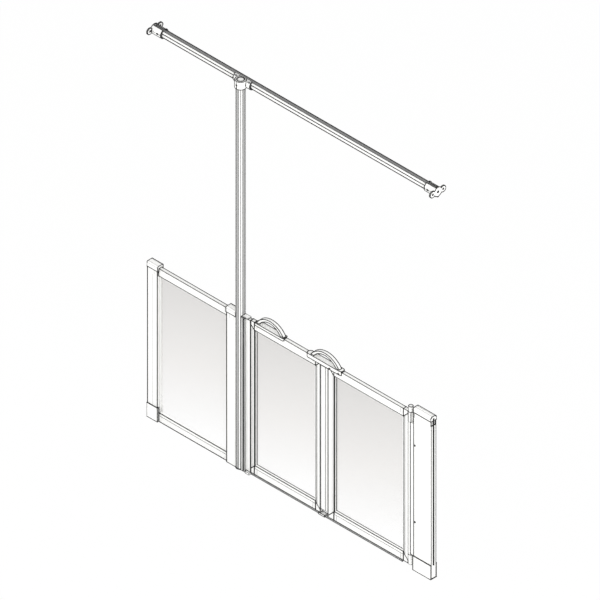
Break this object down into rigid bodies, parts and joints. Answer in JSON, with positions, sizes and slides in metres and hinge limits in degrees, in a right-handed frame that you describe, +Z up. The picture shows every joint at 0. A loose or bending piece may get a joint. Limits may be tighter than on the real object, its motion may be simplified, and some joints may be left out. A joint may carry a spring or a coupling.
{
  "type": "half-height carer shower screen",
  "caption": "Low glazed shower screen between two walls: a fixed panel, a folding door of two leaves hung on the right post, and a pole up to a curtain rail.",
  "frame": {"origin": "middle of the footprint, on the floor", "axes": "+X from the left wall to the right wall as seen from outside the shower, +Y into the shower, +Z up"},
  "size_m": [1.584, 0.0914, 1.877],
  "materials": {
    "white_coat": "satin",
    "white_plastic": "semi-gloss",
    "glass": "polished",
    "dark_rubber": "matt",
    "grey_seal": "matt",
    "steel": "brushed",
    "aluminium": "mill"
  },
  "bodies": {
    "fixed_screen": {"left_wall_channel": "aluminium", "left_post": "white_coat", "left_post_cap": "white_plastic", "left_foot_shoe": "white_plastic", "fixed_top_rail": "white_coat", "fixed_bottom_rail": "white_coat", "fixed_glass": "glass", "fixed_gasket": "dark_rubber", "middle_post": "white_coat", "middle_post_cap": "white_plastic", "support_pole": "white_coat", "pole_foot": "white_plastic", "pole_clamp": "white_plastic", "pole_clamp_plug": "white_plastic", "pole_clamp_screws": "steel", "curtain_rail": "white_coat", "rail_glide_strip": "dark_rubber", "left_rail_bracket": "white_plastic", "right_rail_bracket": "white_plastic", "bracket_grub_screws": "steel", "strike_post": "white_coat", "strike_post_cap": "white_plastic", "strike_jamb": "white_coat", "strike_magnet": "dark_rubber", "strike_foot": "white_plastic", "right_wall_channel": "aluminium", "right_post": "white_coat", "right_post_cap": "white_plastic", "right_foot_shoe": "white_plastic", "right_post_screws": "steel", "wall_hinge_barrel": "white_coat", "wall_hinge_pin": "steel", "wall_hinge_washers": "white_plastic", "wall_hinge_cap": "white_plastic"},
    "leaf_b": {"leaf_b_hinge_profile": "white_coat", "leaf_b_fold_stile": "white_coat", "leaf_b_wall_stile": "white_coat", "leaf_b_top_rail": "white_coat", "leaf_b_bottom_rail": "white_coat", "leaf_b_glass": "glass", "leaf_b_gasket": "dark_rubber", "leaf_b_corner_blocks": "white_plastic", "leaf_b_floor_seal": "grey_seal", "handle_b": "white_plastic", "handle_b_screws": "steel", "fold_hinge_b_half": "white_coat", "fold_hinge_pin": "steel"},
    "leaf_a": {"leaf_a_fold_stile": "white_coat", "leaf_a_free_stile": "white_coat", "leaf_a_top_rail": "white_coat", "leaf_a_bottom_rail": "white_coat", "leaf_a_glass": "glass", "leaf_a_gasket": "dark_rubber", "leaf_a_corner_blocks": "white_plastic", "leaf_a_floor_seal": "grey_seal", "handle_a": "white_plastic", "fold_hinge_a_half": "white_coat", "leaf_a_edge_seal": "dark_rubber", "floor_seal_end": "white_plastic"}
  },
  "joints": [
    {"name": "wall_hinge", "type": "hinge", "parent": "fixed_screen", "child": "leaf_b", "pos_m": [0.6715, -0.02835, 0.38], "axis": [0, 0, 1], "range_deg": [0, 90]},
    {"name": "fold_hinge", "type": "hinge", "parent": "leaf_b", "child": "leaf_a", "pos_m": [0.194, -0.00635, 0.38], "axis": [0, 0, -1], "range_deg": [0, 180]}
  ]
}
